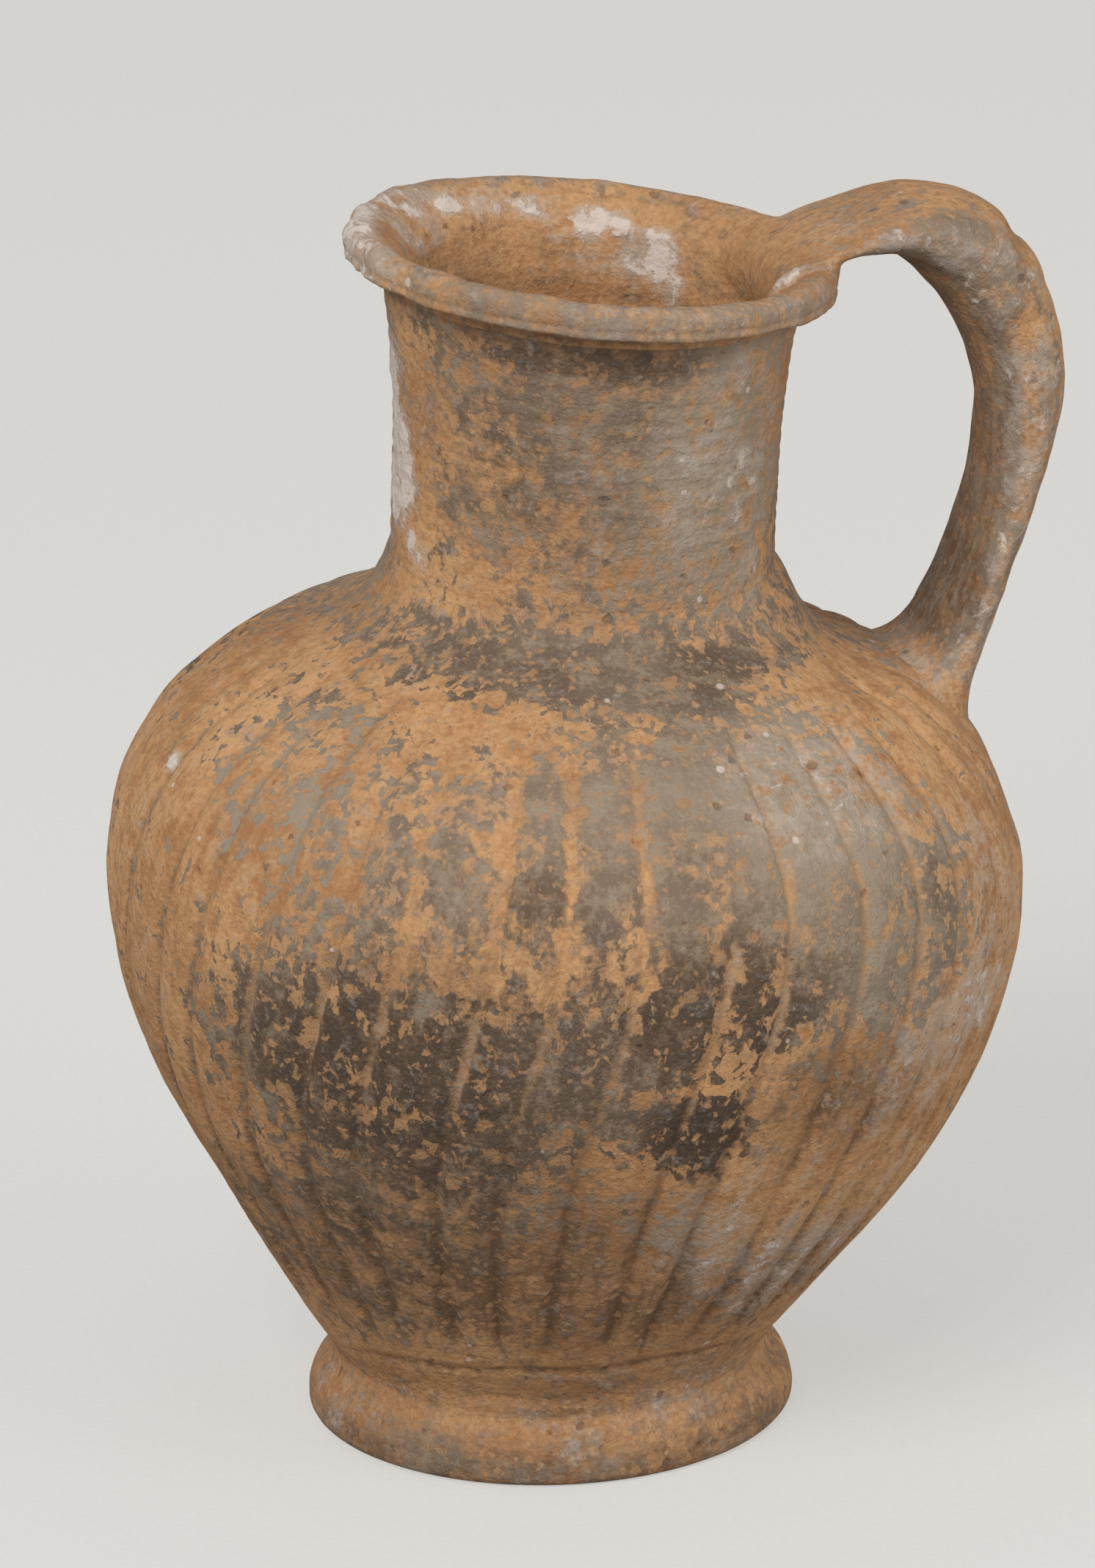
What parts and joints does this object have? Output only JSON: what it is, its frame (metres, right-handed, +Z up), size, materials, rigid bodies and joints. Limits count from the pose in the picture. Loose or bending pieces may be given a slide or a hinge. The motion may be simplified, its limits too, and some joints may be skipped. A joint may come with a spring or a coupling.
{
  "type": "fluted clay jug",
  "caption": "Wheel-thrown clay jug with a fluted ovoid body, disc foot, short neck, everted round lip and one strap handle, for storing and pouring liquids.",
  "frame": {"origin": "centre of the foot's flat underside, on the surface that the jug stands on", "axes": "+Z up, +X towards the handle, +Y to the left of someone who looks along +X"},
  "size_m": [0.1539, 0.1426, 0.1932],
  "materials": {
    "worn_slip": "dark slip worn through to orange clay, dull",
    "bare_clay": "bare orange earthenware, matt",
    "limed_clay": "earthenware with a whitish lime crust, matt"
  },
  "bodies": {
    "root": {"foot": "bare_clay", "foot_coil": "limed_clay", "body": "worn_slip", "neck_coil": "worn_slip", "neck": "worn_slip", "lip": "limed_clay", "handle": "bare_clay", "handle_coil": "limed_clay"}
  },
  "joints": []
}
